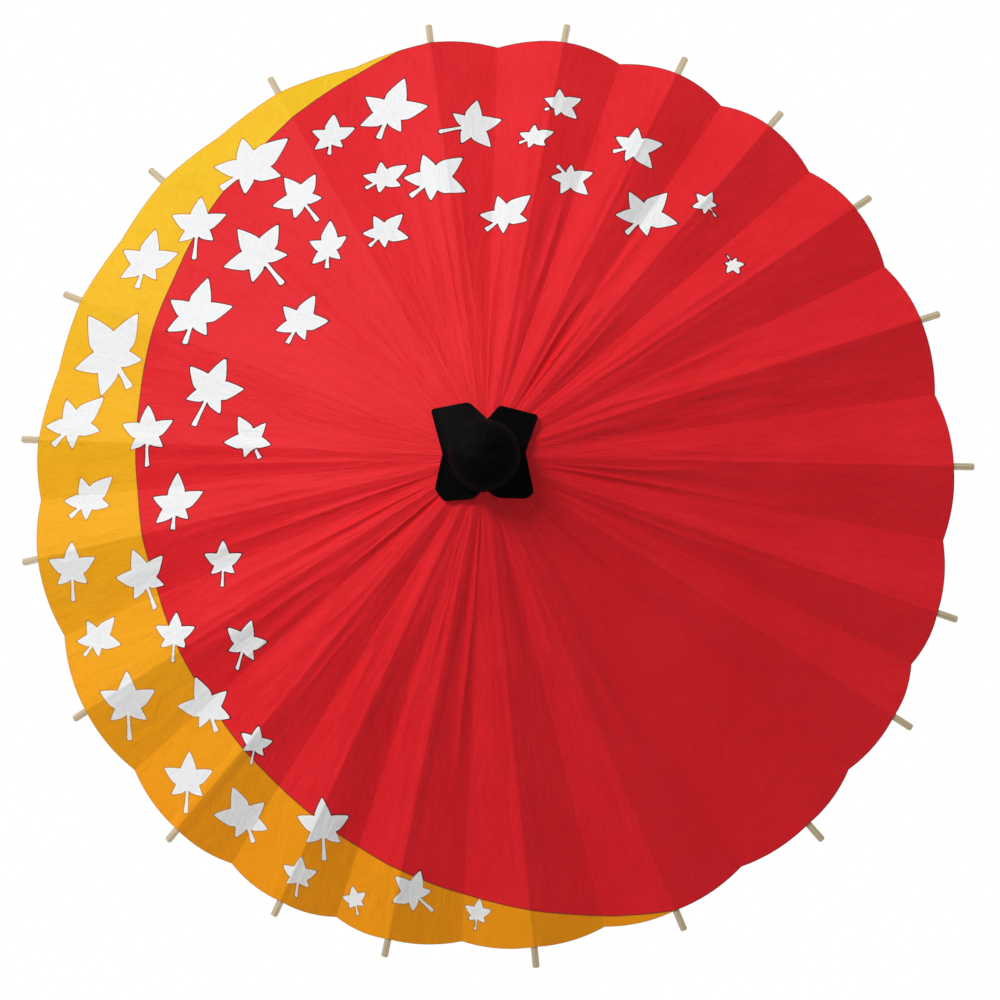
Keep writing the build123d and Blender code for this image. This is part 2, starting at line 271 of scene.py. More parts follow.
class Recipe:
    def __init__(self, name):
        self.material = bpy.data.materials.new(name)
        self.material.use_nodes = True
        self.tree = self.material.node_tree
        self.tree.nodes.clear()

    def node(self, kind, settings=None, sockets=None, output=0):
        made = self.tree.nodes.new("ShaderNode" + kind)
        for name, value in (settings or {}).items():
            setattr(made, name, value)
        for name, value in (sockets or {}).items():
            if isinstance(value, Wire):
                self.tree.links.new(value.socket, made.inputs[name])
            else:
                made.inputs[name].default_value = value
        return Wire(self, made.outputs[output])

    def axes(self, vector):
        split = self.node("SeparateXYZ", sockets={0: vector})
        outputs = split.socket.node.outputs
        return [Wire(self, outputs[i]) for i in range(3)]

    def joined(self, x, y, z):
        return self.node("CombineXYZ", sockets={0: x, 1: y, 2: z})

    def place(self):
        return self.node("TexCoord", output="Object")

    def attribute(self, name, output):
        return self.node("Attribute", {"attribute_name": name}, output=output)

    def noise(self, vector, scale, detail=3.0, roughness=0.5, distortion=0.0):
        sockets = {"Vector": vector, "Scale": scale, "Detail": detail, "Roughness": roughness,
                   "Distortion": distortion}
        return self.node("TexNoise", sockets=sockets, output="Fac")

    def paint(self, mask, first, second, mode="MIX"):
        settings = {"data_type": "RGBA", "blend_type": mode}
        return self.node("Mix", settings, {0: mask, 6: first, 7: second}, output=2)

    def bump(self, height, distance, strength):
        return self.node("Bump", sockets={"Height": height, "Distance": distance, "Strength": strength})

    def principled(self, sockets):
        return self.node("BsdfPrincipled", sockets=sockets)

    def done(self, shader):
        end = self.tree.nodes.new("ShaderNodeOutputMaterial")
        self.tree.links.new(shader.socket, end.inputs["Surface"])
        return self.material


def grey(level):
    return (level, level, level, 1)


# camera, light and floor

studio = {
    "distance": 3.0,              # camera to the middle of the paper's rim
    "tilt": 7.85,                 # degrees off straight above
    "swing": 16.9,                # degrees round from the front
    "lens": 120.9,
    "farthest": 50,
    "shift": (0.0067, -0.0156),
    "keyAzimuth": 135.0,          # light from behind and to the left
    "keyElevation": 44.0,
    "keyStrength": 2.35,
    "keySoftness": 16.0,
    "skyHorizon": 0.95,           # brightness below the lower of the two heights that follow
    "skyAbove": 0.27,             # and above the higher one
    "skyHeights": (0.08, 0.5),
    "floorSize": 14.0,
    "floorGap": 0.5 * mm,
}


def aimAt(target, direction, distance, upHint):
    # placement matrix that looks from far along direction back at the target
    back = direction.normalized()
    up = (upHint - back * upHint.dot(back)).normalized()
    side = up.cross(back)
    turn = Matrix((side, up, back)).transposed().to_4x4()
    return Matrix.Translation(target + back * distance) @ turn


def makeCamera():
    tilt, swing = math.radians(studio["tilt"]), math.radians(studio["swing"])
    away = Vector((math.sin(tilt) * math.sin(swing), -math.sin(tilt) * math.cos(swing), math.cos(tilt)))
    lens = bpy.data.cameras.new("camera")
    lens.lens = studio["lens"]
    lens.shift_x, lens.shift_y = studio["shift"]
    lens.clip_end = studio["farthest"]
    camera = bpy.data.objects.new("camera", lens)
    camera.matrix_world = aimAt(rimCentre, away, studio["distance"], Vector((0, 1, 0)))
    bpy.context.scene.collection.objects.link(camera)
    bpy.context.scene.camera = camera


def makeLight():
    azimuth, elevation = math.radians(studio["keyAzimuth"]), math.radians(studio["keyElevation"])
    towards = Vector((math.cos(azimuth) * math.cos(elevation), math.sin(azimuth) * math.cos(elevation),
                      math.sin(elevation)))
    lamp = bpy.data.lights.new("key", "SUN")
    lamp.energy = studio["keyStrength"]
    lamp.angle = math.radians(studio["keySoftness"])
    key = bpy.data.objects.new("key", lamp)
    key.matrix_world = aimAt(rimCentre, towards, 3, Vector((0, 0, 1)))
    bpy.context.scene.collection.objects.link(key)


def makeSky():
    # a pale room: bright at the horizon, softer overhead
    world = bpy.data.worlds.new("room")
    world.use_nodes = True
    nodes, links = world.node_tree.nodes, world.node_tree.links
    nodes.clear()
    direction = nodes.new("ShaderNodeTexCoord")
    split = nodes.new("ShaderNodeSeparateXYZ")
    ramp = nodes.new("ShaderNodeValToRGB")
    background = nodes.new("ShaderNodeBackground")
    end = nodes.new("ShaderNodeOutputWorld")
    low, high = ramp.color_ramp.elements
    low.position, high.position = studio["skyHeights"]
    low.color, high.color = grey(studio["skyHorizon"]), grey(studio["skyAbove"])
    links.new(direction.outputs["Generated"], split.inputs[0])
    links.new(split.outputs["Z"], ramp.inputs["Fac"])
    links.new(ramp.outputs["Color"], background.inputs["Color"])
    links.new(background.outputs[0], end.inputs["Surface"])
    bpy.context.scene.world = world


def makeFloor():
    recipe = Recipe("paleFloor")
    glow = recipe.node("Emission", sockets={"Color": grey(1), "Strength": 1.0})
    form = bmesh.new()
    bmesh.ops.create_grid(form, x_segments=4, y_segments=4, size=studio["floorSize"] / 2)
    lowest = cadBox[0].z - studio["floorGap"]
    bmesh.ops.translate(form, verts=form.verts, vec=(0, 0, lowest))
    newObject("floor", form, recipe.done(glow))


makeCamera()
makeLight()
makeSky()
makeFloor()
bpy.context.scene.view_settings.view_transform = "Standard"
print("camera, light and floor in place")


# oiled paper

paper = {
    "creaseDrop": 13.0 * mm,      # how far a crease hangs below a flat panel at the rim
    "rimBulge": 3.0 * mm,         # how far the rim stands out between a rib and a crease
    "longAzimuth": 220,           # the paper reaches further down the ribs round here
    "longReach": (8, 72),         # all of it within the first, none past the second
    "longExtra": 5.8 * mm,
    "calmAzimuth": 142,           # the paper lies flatter round here
    "calmReach": (20, 58),        # fully calm within the first, as elsewhere past the second
    "calmCrease": 0.62,           # share of the crease's drop that is lost there
    "calmBulge": 0.8,
    "thickness": 0.35 * mm,
    "ribBand": 3.0 * mm,          # half width of the paper glued along a rib
    "panelStart": 1.5 * mm,       # how far out half panels begin from where the bands meet
    "meshStep": 1.7 * mm,         # where leaves are printed
    "wideStep": 3.2 * mm,         # elsewhere
    "foldKeep": 0.03,             # a half panel's thickness when folded, as a share
    "foldClear": 0.45 * mm,       # how far a folded crease stays from the middle of its gap
    "foldTilts": (0, 60, 0.25),   # directions of flattening that are tried, in degrees
    "printedFrom": 30,            # leaves are printed between these azimuths, outside this radius
    "printedTo": 280,
    "printedRadius": 190 * mm,
    "crescentCentre": (96 * mm, 30 * mm),
    "crescentRadius": 412 * mm,
    "handCut": 3.0 * mm,          # how unevenly the crescent is cut
    "seamWidth": 0.55 * mm,
    "amberFrom": 0.30,            # the yellow turns to amber between these places from back to front
    "amberTo": -0.31,
    "red": (0.86, 0.016, 0.026, 1),
    "redDeep": (0.78, 0.010, 0.017, 1),
    "yellow": (0.97, 0.62, 0.012, 1),
    "yellowDeep": (0.93, 0.54, 0.008, 1),
    "amber": (0.95, 0.34, 0.002, 1),
    "white": (0.95, 0.95, 0.95, 1),
    # painted shade: the grey laid over the inside of each white leaf
    "whitePaintedShade": (0.80, 0.83, 0.86, 1),
    "redLine": (0.10, 0.010, 0.016, 1),
    "yellowLine": (0.56, 0.27, 0.05, 1),
    "seamLine": (0.22, 0.014, 0.016, 1),
    "fibreTint": (0.80, 0.62, 0.62, 1),
    "lineWidth": 0.95 * mm,
    "glowRed": (0.75, 0.03, 0.03, 1),
    "glowYellow": (0.90, 0.50, 0.04, 1),
    "glowWhite": (0.85, 0.83, 0.78, 1),
    "glowShare": 0.10,
    "reliefDepth": 1.7 * mm,
}

# each kind's lobes: degrees off the leaf's heading, length as a share of its reach; 180 is the stem
leafKinds = (
    ((0, 1.0), (-62, 0.95), (70, 0.78), (133, 0.75), (-130, 0.6), (180, 0.7)),
    ((0, 1.0), (62, 0.95), (-70, 0.78), (-133, 0.75), (130, 0.6), (180, 0.7)),
    ((0, 1.0), (64, 0.96), (-64, 0.96), (128, 0.70), (-128, 0.70), (180, 1.0)),
    ((0, 1.0), (65, 0.71), (-54, 0.72), (135, 0.7), (-130, 0.55), (180, 0.65)),
)
# printed maple leaves: place in mm seen from above, reach of the long lobe in mm, heading, kind
leaves = (
    (-93, 335, 38, 70, 0), (-145, 312, 25, 87, 0), (-19, 320, 29, 15, 2), (-221, 286, 46, 37, 3),
    (-265, 231, 30, 86, 2), (-170, 252, 28, 126, 2), (-97, 268, 26, 31, 3), (-52, 265, 35, 39, 0),
    (12, 228, 31, 40, 3), (-205, 198, 36, 128, 2), (-143, 201, 28, 88, 3), (-94, 214, 25, 48, 0),
    (-264, 146, 38, 73, 0), (-167, 132, 29, 61, 0), (-247, 75, 33, 64, 2), (-305, 40, 28, 90, 2),
    (-208, 28, 26, 118, 1), (-314, 201, 34, 75, 0), (-341, 114, 48, 121, 0), (-377, 53, 38, 41, 3),
    (-363, -15, 32, 40, 3), (-278, -25, 30, 86, 0), (-376, -77, 26, 90, 2), (-308, -87, 28, 111, 2),
    (-234, -77, 20, 88, 2), (-354, -138, 26, 49, 0), (-279, -139, 22, 86, 2), (-215, -148, 22, 70, 2),
    (-324, -197, 30, 90, 2), (-250, -202, 30, 111, 1), (-207, -234, 17, 75, 2), (-270, -265, 27, 86, 2),
    (-219, -298, 30, 109, 1), (-148, -307, 27, 90, 2), (-171, -348, 18, 80, 2), (-122, -369, 13, 100, 2),
    (-69, -363, 22, 137, 2), (-14, -381, 14, 80, 2), (61, 340, 21, 22, 0), (37, 306, 20, 18, 3),
    (70, 267, 23, -46, 1), (127, 298, 27, 11, 0), (135, 231, 33, 49, 0), (191, 244, 14, 129, 2),
    (214, 188, 11, -61, 2),
)
leafShape = {
    "lobeWidth": 0.260,           # half width of a lobe, as a share of its length
    "lobeFoot": 0.60,             # width at the middle of the leaf, as a share of the widest
    "widest": 0.47,               # where a lobe is widest, from the leaf's middle to the tip
    "fullness": 0.28,             # how far a lobe's sides swell on their way to the tip
    "heart": 0.24,                # round middle, as a share of the leaf's reach
    "stemWidth": 0.045,
    "stemFoot": 0.075,
    "reach": 6 * mm,              # how far from a leaf its distance is worked out
}


def lobeOutline(length, halfWidth):
    along = np.linspace(0, 1, 19)
    foot, widest = leafShape["lobeFoot"], leafShape["widest"]
    swell = foot + (1 - foot) * np.sin(np.minimum(along / widest, 1) * math.pi / 2)
    pastWidest = np.clip((along - widest) / (1 - widest), 0, 1)
    taper = (1 - pastWidest) * (1 + leafShape["fullness"] * pastWidest)
    side = np.column_stack((along * length, halfWidth * swell * taper))
    return np.vstack((side, side[-2::-1] * (1, -1)))


def stemOutline(length, reach):
    foot, top = leafShape["stemFoot"] * reach, leafShape["stemWidth"] * reach
    return np.array([(0, top), (0.6 * length, top), (length, foot),
                     (length, -foot), (0.6 * length, -top), (0, -top)])


def outlineDistance(points, outline):
    # distance from each point to a closed outline, negative inside it
    starts, ends = outline, np.roll(outline, -1, axis=0)
    edges = ends - starts
    offset = points[:, None] - starts[None]
    share = np.clip((offset * edges).sum(2) / (edges * edges).sum(1), 0, 1)
    nearest = np.linalg.norm(offset - share[..., None] * edges, axis=2).min(1)
    rising = (starts[:, 1] <= points[:, None, 1]) != (ends[:, 1] <= points[:, None, 1])
    slope = np.where(edges[:, 1] == 0, 1, edges[:, 1])
    crossing = starts[:, 0] + (points[:, None, 1] - starts[:, 1]) * edges[:, 0] / slope
    inside = (rising & (crossing > points[:, None, 0])).sum(1) % 2 == 1
    return np.where(inside, -nearest, nearest)


def leafDistances(places):
    # distance of plan places to the nearest printed leaf's edge
    distances = np.full(len(places), leafShape["reach"])
    for x, y, size, heading, kind in leaves:
        reach = size * mm
        offset = places - np.array([x, y]) * mm
        near = np.linalg.norm(offset, axis=1) < reach * 1.05 + leafShape["reach"]
        if not near.any():
            continue
        close = offset[near]
        nearest = np.linalg.norm(close, axis=1) - leafShape["heart"] * reach
        for angle, share in leafKinds[kind]:
            turn = math.radians(heading + angle)
            ahead = close @ np.array([math.cos(turn), math.sin(turn)])
            aside = close @ np.array([-math.sin(turn), math.cos(turn)])
            length = share * reach
            outline = (stemOutline(length, reach) if angle == 180
                       else lobeOutline(length, leafShape["lobeWidth"] * length))
            nearest = np.minimum(nearest, outlineDistance(np.column_stack((ahead, aside)), outline))
        distances[near] = np.minimum(distances[near], nearest)
    return distances


def oiledPaper():
    recipe = Recipe("oiledPaper")
    rest = recipe.attribute("restPlace", "Vector")
    x, y = recipe.axes(rest)[:2]
    radius = (x * x + y * y).root()
    centreX, centreY = paper["crescentCentre"]
    acrossX, acrossY = x - centreX, y - centreY
    handCut = (recipe.noise(rest, 15, 2) - 0.5) * paper["handCut"]
    outward = (acrossX * acrossX + acrossY * acrossY).root() - paper["crescentRadius"] + handCut
    isYellow = outward.over(0.0, 0.5 * mm)
    seam = 1 - outward.size().over(paper["seamWidth"], 0.6 * mm)
    leaf = recipe.attribute("leafDistance", "Fac")
    isLeaf = 1 - leaf.over(0.0, 0.4 * mm)
    leafEdge = (1 - leaf.over(paper["lineWidth"], 0.4 * mm)) * (1 - isLeaf)

    # cloudy dye and long fibres pressed into the sheet
    cloud = recipe.noise(rest, 11, 4, 0.6)
    mottle = recipe.noise(rest, 300, 5, 0.62)
    grain = recipe.noise(rest, 1500, 3, 0.6)
    turned = recipe.node("Mapping", sockets={
        "Vector": rest, "Rotation": (0, 0, 0.6), "Scale": (1, 0.14, 1),
    })
    fibre = 1 - (recipe.noise(turned, 420, 4, 0.55, 0.8) - 0.5).size().over(0.03, 0.05)
    angle = y.turnFrom(x)
    polar = recipe.joined(angle * 9.0, radius * 10.0, 0.0)
    crumple = recipe.noise(polar, 2.6, 4, 0.6, 0.5)
    bent = recipe.noise(recipe.joined(angle * 12.0, radius * 30.0, 0.0), 1.7, 3, 0.55, 1.6)
    crease = 1 - (bent - 0.5).size().over(0.004, 0.012)
    crease = crease * recipe.noise(rest, 26, 2).over(0.56, 0.12) * radius.over(0.24, 0.3)

    wear = (cloud * 0.6 + mottle * 0.4).over(0.5, 0.4)
    red = recipe.paint(wear, paper["redDeep"], paper["red"])
    yellow = recipe.paint(wear, paper["yellowDeep"], paper["yellow"])
    turning = (paper["amberFrom"] - y) / (paper["amberFrom"] - paper["amberTo"])
    yellow = recipe.paint(turning, yellow, paper["amber"])
    dyed = recipe.paint(isYellow, red, yellow)
    dyed = recipe.paint(fibre * 0.12, dyed, paper["fibreTint"], "MULTIPLY")
    dyed = recipe.paint(seam * 0.85, dyed, paper["seamLine"])
    line = recipe.paint(isYellow, paper["redLine"], paper["yellowLine"])
    lined = recipe.paint(leafEdge, dyed, line)
    # painted shade: each leaf's inside is painted greyer, in patches, and only a thin rim stays white
    inside = 1 - (leaf + 1.5 * mm).over(0.0, 1.4 * mm)
    leafPaintedShade = inside * (0.15 + mottle.over(0.5, 0.35) * 0.35)
    printed = recipe.paint(leafPaintedShade, paper["white"], paper["whitePaintedShade"])
    colour = recipe.paint(isLeaf, lined, printed)
    edge = 1 - recipe.attribute("rimDistance", "Fac").over(0.7 * mm, 0.8 * mm)
    colour = recipe.paint(edge * 0.75, colour, line)

    relief = crumple + mottle * 0.10 + grain * 0.03 - fibre * 0.03 + crease * 0.10
    normal = recipe.bump(relief, paper["reliefDepth"], 0.9)
    sheet = recipe.principled({
        "Base Color": colour, "Roughness": 0.55 + (mottle - 0.5) * 0.25, "Normal": normal,
        "Specular IOR Level": 0.16,
    })
    red, yellow, white = [recipe.node("BsdfTranslucent", sockets={"Color": paper[name]})
                          for name in ("glowRed", "glowYellow", "glowWhite")]
    glow = recipe.node("MixShader", sockets={0: isYellow, 1: red, 2: yellow})
    glow = recipe.node("MixShader", sockets={0: isLeaf, 1: glow, 2: white})
    return recipe.done(recipe.node("MixShader", sockets={0: paper["glowShare"], 1: sheet, 2: glow}))


def falling(azimuth, fall):
    # direction that points out at an azimuth and down by a slope
    return np.array([math.cos(azimuth) * math.cos(fall), math.sin(azimuth) * math.cos(fall), -math.sin(fall)])


def ribDirection(azimuth):
    return falling(azimuth, ribSlope)


def gapAfter(number):
    # azimuths of a rib and the next one round
    first = ribs[number]["azimuth"]
    second = ribs[(number + 1) % len(ribs)]["azimuth"]
    return first, second if second > first else second + math.tau


def gapBeside(number, side):
    # number of the gap on one side of a rib
    return number if side > 0 else (number - 1) % len(ribs)


def nearness(azimuth, middle, reach):
    # 1 round the middle, 0 away from it; middle and reach are in degrees
    away = np.abs((azimuth - math.radians(middle) + math.pi) % math.tau - math.pi)
    return 1 - smoothRise(away, *np.radians(reach))


def calmAt(azimuth):
    # 1 where the paper lies flattest, 0 on the rest of it
    return nearness(azimuth, paper["calmAzimuth"], paper["calmReach"])


def extraAt(azimuth):
    # how much longer than elsewhere the paper is cut here
    return paper["longExtra"] * nearness(azimuth, paper["longAzimuth"], paper["longReach"])


def creaseDirection(number):
    first, second = gapAfter(number)
    middle = (ribDirection(first) + ribDirection(second)) / 2
    fall = math.atan2(-middle[2], math.hypot(middle[0], middle[1]))
    azimuth = (first + second) / 2
    drop = paper["creaseDrop"] * (1 - paper["calmCrease"] * calmAt(azimuth))
    fall += math.asin(drop / (paperSlant * np.linalg.norm(middle)))
    return falling(azimuth, fall)


ribAngles = np.array([rib["azimuth"] for rib in ribs])
creaseAngles = np.array([sum(gapAfter(number)) / 2 for number in range(len(ribs))])
wrinkle = {
    "apexFolds": 84,              # narrow folds round the apex
    "apexHeight": 1.7 * mm,
    "apexRise": (25 * mm, 70 * mm),
    "apexFade": (150 * mm, 380 * mm),
    "apexLoss": 0.85,             # share of their height that the fade takes
    "broadFolds": 44,
    "broadHeight": 1.0 * mm,
    "broadRise": (90 * mm, 260 * mm),
    "smallFolds": 210,
    "smallHeight": 0.12 * mm,
    "smallRise": (60 * mm, 140 * mm),
    "calmLoss": 0.6,              # share of all these that is lost where the paper lies flattest
    "ribReach": 3.2,              # they are whole from here on, in half widths of the glued band
    "valleyRound": 0.020,         # width of a rounded valley, as a share of the radius
    "valleyFill": 0.075,
}


def angleTo(angles, targets):
    # smallest turn from each angle to the nearest target
    turns = (angles[:, None] - targets[None] + math.pi) % math.tau - math.pi
    return np.abs(turns).min(1)


def creasedHeight(points):
    # small folds and soft valleys of hand-folded paper, as a rise or fall at each place
    radius = np.hypot(points[:, 0], points[:, 1])
    angle = np.arctan2(points[:, 1], points[:, 0]) % math.tau
    turn = angle / math.tau
    fromRib = radius * np.sin(np.minimum(angleTo(angle, ribAngles), math.pi / 2))
    fromCrease = radius * np.sin(np.minimum(angleTo(angle, creaseAngles), math.pi / 2))
    liveliness = 1 - wrinkle["calmLoss"] * calmAt(angle)
    narrow = softNoise(turn * wrinkle["apexFolds"], radius * 9, 3, wrinkle["apexFolds"])
    narrow = 1 - 2 * np.abs(narrow)
    narrow *= smoothRise(radius, *wrinkle["apexRise"])
    narrow *= 1 - wrinkle["apexLoss"] * smoothRise(radius, *wrinkle["apexFade"])
    broad = softNoise(turn * wrinkle["broadFolds"], radius * 4.5, 5, wrinkle["broadFolds"])
    broad *= smoothRise(radius, *wrinkle["broadRise"])
    small = softNoise(turn * wrinkle["smallFolds"], radius * 26, 8, wrinkle["smallFolds"])
    small *= smoothRise(radius, *wrinkle["smallRise"])
    height = liveliness * (wrinkle["apexHeight"] * narrow + wrinkle["broadHeight"] * broad
                           + wrinkle["smallHeight"] * small)
    height *= smoothRise(fromRib, paper["ribBand"], wrinkle["ribReach"] * paper["ribBand"])
    roundness = wrinkle["valleyRound"] * radius
    return height + wrinkle["valleyFill"] * roundness * np.exp(-fromCrease / roundness)


def foldedAway(number, side):
    # the direction in which a half panel flattens, so that its crease ends midway to the next rib
    azimuth = ribs[number]["azimuth"]
    outward = np.array([math.cos(azimuth), math.sin(azimuth), 0])
    along = ribDirection(azimuth)
    across = side * np.array([-math.sin(azimuth), math.cos(azimuth), 0])
    above = side * np.cross(along, across)
    gap = gapBeside(number, side)
    first, second = gapAfter(gap)
    crease = apex + paperSlant * creaseDirection(gap)
    start = apex + paperSlant * along + paper["ribBand"] * across
    hub = outward * pivotRadius + np.array([0, 0, hubPivot.z])
    lateral, depth = (crease - start) @ across, (crease - start) @ above
    length, lift = (crease - hub) @ along, (start - hub) @ above
    closed = math.pi / 2 - ribSlope - ribs[number]["fold"]
    halfGap = (second - first) / 2
    best = None
    for tilt in np.radians(np.arange(*paper["foldTilts"])):
        flatten = (1 - paper["foldKeep"]) * (lateral * math.cos(tilt) + depth * math.sin(tilt))
        sideways = paper["ribBand"] + lateral - flatten * math.cos(tilt)
        inward = lift + depth - flatten * math.sin(tilt)
        reach = pivotRadius + length * math.sin(closed) + inward * math.cos(closed)
        miss = abs(sideways + paper["foldClear"] - reach * math.tan(halfGap))
        if best is None or miss < best[0]:
            best = (miss, tilt)
    return across * math.cos(best[1]) + above * math.sin(best[1]), start


def halfPanel(number, side, finish):
    # paper from one rib's band to the valley on one side of it
    rib = ribs[number]
    gap = gapBeside(number, side)
    middle = sum(gapAfter(gap)) / 2
    along, crease = ribDirection(rib["azimuth"]), creaseDirection(gap)
    toCrease = unit(crease - along * (along @ crease))
    fullTurn = math.acos(along @ crease)
    start = paper["ribBand"] / math.sin(fullTurn) + paper["panelStart"]
    printed = paper["printedFrom"] < math.degrees(middle) % 360 < paper["printedTo"]
    step = paper["meshStep"] if printed else paper["wideStep"]
    inner = paper["printedRadius"] if printed else paperSlant
    wideRows = round((inner - start) / paper["wideStep"])
    rows = wideRows + round((paperSlant - inner) / step)
    bulge = paper["rimBulge"] * (1 - paper["calmBulge"] * calmAt(middle))

    def spot(slant, turn):
        share = turn / fullTurn
        heading = np.cos(turn)[:, None] * along + np.sin(turn)[:, None] * toCrease
        extra = bulge * 4 * share * (1 - share) + extraAt(np.arctan2(heading[:, 1], heading[:, 0]))
        return apex + (slant + extra * (slant / paperSlant) ** 2)[:, None] * heading

    def slantAt(u):
        row = np.round(u * rows)
        wide = start + (inner - start) * row / wideRows
        narrow = inner + (row - wideRows) * (paperSlant - inner) / max(1, rows - wideRows)
        return np.where(row <= wideRows, wide, narrow)

    def place(u, v):
        slant = slantAt(u)
        band = np.arcsin(np.minimum(1, paper["ribBand"] / slant))
        share = v if side > 0 else 1 - v
        points = spot(slant, band + (fullTurn - band) * share)
        points[:, 2] += creasedHeight(points)
        return points

    name = f"paper_{rib['body'][-2:]}_{'left' if side > 0 else 'right'}"
    panel = gridPiece(name, rows, max(4, round(paperSlant * fullTurn / step)), place, finish)
    describePaper(panel, slantAt)
    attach(panel, rib["body"])
    flatten, anchor = foldedAway(number, side)
    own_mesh(panel)
    return panel, spot, fullTurn


def ribBand(number, halves, finish):
    # the strip of paper glued over a rib
    rib = ribs[number]
    innermost = holeRadius / math.cos(ribSlope)

    def slantAt(u):
        return innermost + (paperSlant - innermost) * u

    def place(u, v):
        slant = slantAt(u)
        points = np.empty((len(u), 3))
        for side, (_, spot, fullTurn) in halves.items():
            reach = np.minimum(np.arcsin(paper["ribBand"] / slant), 0.995 * fullTurn)
            here = side * (v - 0.5) >= 0
            points[here] = spot(slant, np.abs(2 * v - 1) * reach)[here]
        return points

    name = f"paper_{rib['body'][-2:]}_band"
    band = gridPiece(name, round(paperSlant / paper["wideStep"]), 6, place, finish)
    describePaper(band, slantAt)
    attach(band, rib["body"])
    return band


def describePaper(piece, slantAt):
    # rest place, distance to the nearest leaf and to the rim, kept on the mesh for its finish
    mesh = piece.data
    points = meshPoints(mesh)
    gridPlace = np.empty(len(mesh.vertices) * 3, np.float32)
    mesh.attributes["gridPlace"].data.foreach_get("vector", gridPlace)
    pointAttribute(mesh, "restPlace", points)
    pointAttribute(mesh, "leafDistance", leafDistances(points[:, :2]))
    pointAttribute(mesh, "rimDistance", paperSlant - slantAt(gridPlace[::3].astype(float)))
    thicken(piece, paper["thickness"])


def makeCanopy():
    finish = oiledPaper()
    for number, rib in enumerate(ribs):
        halves = {side: halfPanel(number, side, finish) for side in (1, -1)}
        band = ribBand(number, halves, finish)
        for side, (panel, _, fullTurn) in halves.items():
            reach = paperSlant + float(extraAt(rib["azimuth"]))
            flat = (reach * fullTurn, reach)
            0.5 * flat[0] * flat[1]
            [band] if side > 0 else []
        if number == 0:
            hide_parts("canopy")
    print("canopy:", len(ribs), "ribs, each with a band and two half panels")


makeCanopy()


# black cap: a gathered dome and four skirt flaps, tied with a twisted cord

capBlack = {
    "neckRadius": 24.0 * mm,
    "neckHeight": 4.5 * mm,
    "bulgeRise": 14.0 * mm,
    "neckEnd": 0.14,              # where the neck ends and the dome is widest, from tie to crown
    "widest": 0.40,
    "crownPower": 0.85,
    "domeGrid": (288, 54),
    "gathers": 36,
    "gatherDepth": 1.9 * mm,      # cloth gathered from a disc this wide falls into deep folds
    "gatherFade": (0.20, 0.46),
    "lump": 1.1 * mm,
    "fineLump": 0.35 * mm,
    "wall": 0.9 * mm,
    "cornerRound": 3.2 * mm,
    "flapGrid": (72, 22),
    "flapLift": 2.4 * mm,
    "flapWave": 1.3 * mm,
    "flapCurl": 2.6 * mm,
    "flapTuck": 0.2 * mm,         # how far a flap reaches in under the tie
    "flapBevel": 0.25 * mm,
    "flapTurn": 14.0 * mm,        # a length out along the nearest rib from the neck of the cap
    "colour": (0.0012, 0.0011, 0.0012, 1),
    "worn": (0.0060, 0.0056, 0.0060, 1),
    "cordRadius": 1.3 * mm,
    "cordTwists": 34,
    "cordGrid": (420, 16),
    "strandDepth": 0.16,          # rise and fall of the strands, as a share of the thickness
    "strandCore": 0.86,
}
# outlines of the flaps seen from above, in mm, from notch to notch
capFlaps = (
    ((34, 4), (45, 38), (12, 46), (2, 33)),
    ((2, 33), (-14, 49), (-47, 44), (-36, 4)),
    ((-36, 4), (-43, -26), (-35, -36), (-11, -35), (-1, -26)),
    ((-1, -26), (10, -34), (35, -34), (41, -29), (34, 4)),
)
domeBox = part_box("cap_dome")
neckBottom, crownTop, bulgeRadius = domeBox[0].z, domeBox[1].z, domeBox[1].x


def capFinish():
    recipe = Recipe("capCloth")
    place = recipe.place()
    weave = recipe.noise(place, 900, 3, 0.6)
    folds = recipe.noise(place, 85, 4, 0.6, 0.6)
    scuff = recipe.noise(place, 130, 5, 0.7, 1.2).over(0.63, 0.10)
    colour = recipe.paint(scuff * 0.55, capBlack["colour"], capBlack["worn"])
    normal = recipe.bump(folds + weave * 0.12, 1.1 * mm, 0.55)
    cloth = recipe.principled({
        "Base Color": colour, "Roughness": 0.58 + (weave - 0.5) * 0.3, "Normal": normal,
        "Specular IOR Level": 0.035,
    })
    return recipe.done(cloth)


def domeHeightAndRadius(share):
    # outline of the dome from the foot of its neck, over the bulge, to the crown
    neck, neckEnd, widest = capBlack["neckRadius"], capBlack["neckEnd"], capBlack["widest"]
    foot = smoothRise(share, 0.0, neckEnd)
    under = np.clip((share - neckEnd) / (widest - neckEnd), 0, 1) * math.pi / 2
    over = np.clip((share - widest) / (1 - widest), 0, 1) * math.pi / 2
    radius = neck + (bulgeRadius - neck) * np.sin(under)
    radius = np.where(share > widest, bulgeRadius * np.cos(over) ** capBlack["crownPower"], radius)
    height = foot * capBlack["neckHeight"]
    height = height + (capBlack["bulgeRise"] - capBlack["neckHeight"]) * (1 - np.cos(under))
    crown = crownTop - neckBottom - capBlack["bulgeRise"]
    return height + crown * np.sin(over), radius


